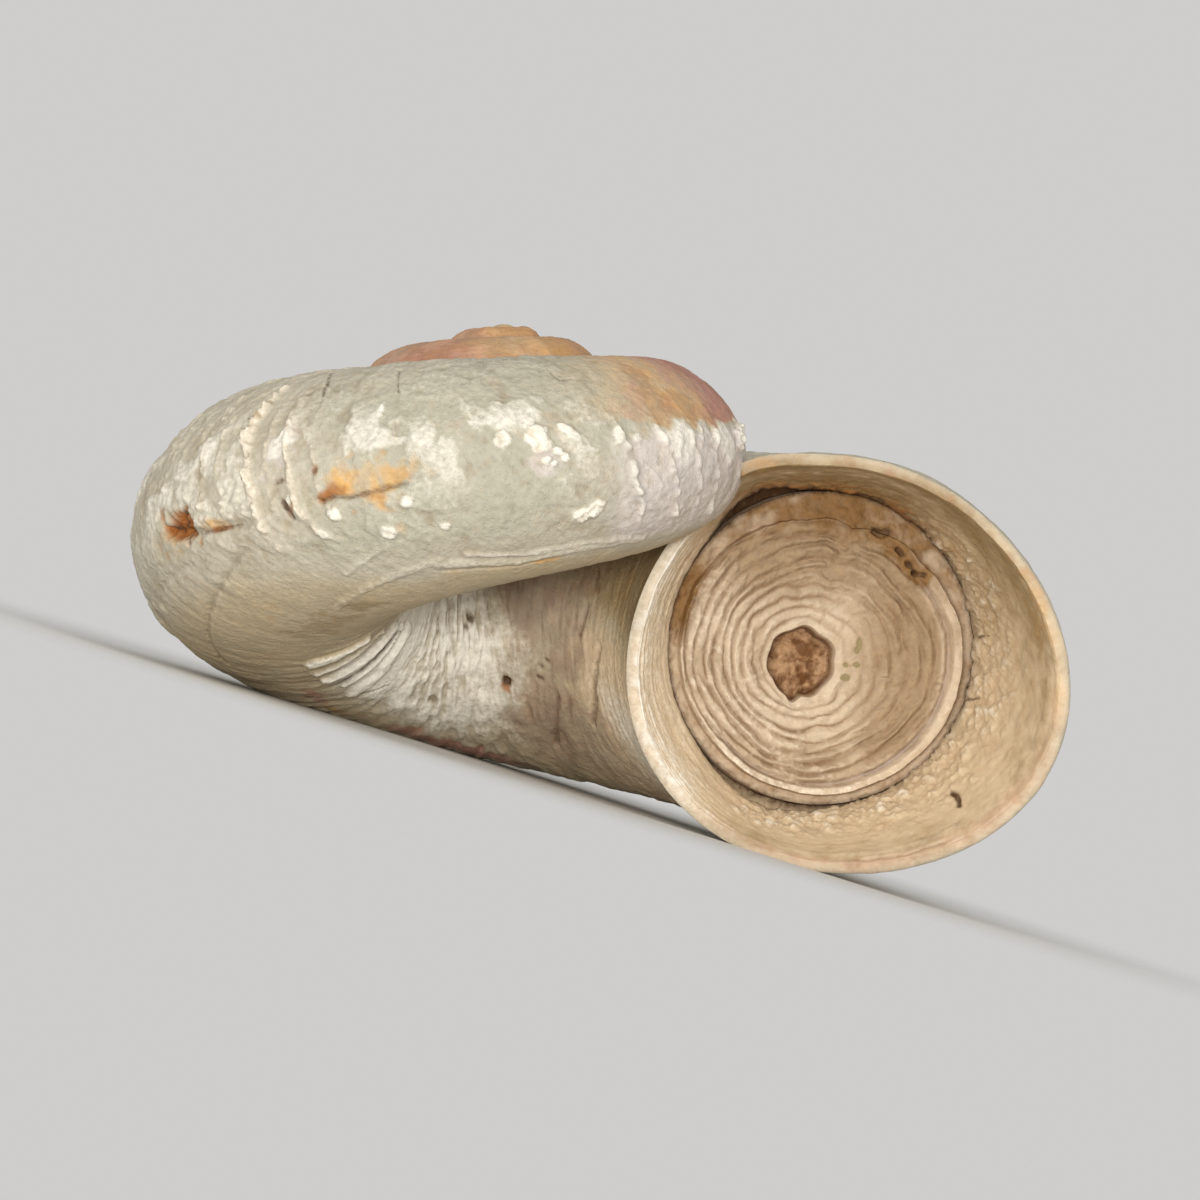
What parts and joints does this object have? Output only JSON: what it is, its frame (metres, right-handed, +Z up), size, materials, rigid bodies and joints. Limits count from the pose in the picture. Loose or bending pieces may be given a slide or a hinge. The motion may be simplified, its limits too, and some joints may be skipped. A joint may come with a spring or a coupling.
{
  "type": "neocyclotus prominulus land snail shell",
  "caption": "Low-spired land snail shell, coiled to the right with a wide open umbilicus and a round flared mouth closed by a thick ringed calcareous lid; a weathered natural specimen.",
  "frame": {"origin": "centre of the bounding box in plan, on the surface that the shell rests on", "axes": "+Z up as the shell lies on its base, spire upwards; the mouth opens towards -Y; +X runs from the last whorl's far side to the lip"},
  "size_m": [0.027, 0.0212, 0.0125],
  "materials": {
    "shell_lime": "weathered aragonite, chalky cream with tan, greenish grey and rust stains, soft sheen",
    "lid_lime": "chalky buff calcareous plate with brown-stained growth rings, matt"
  },
  "bodies": {
    "root": {"shell": "shell_lime", "operculum": "lid_lime"}
  },
  "joints": []
}
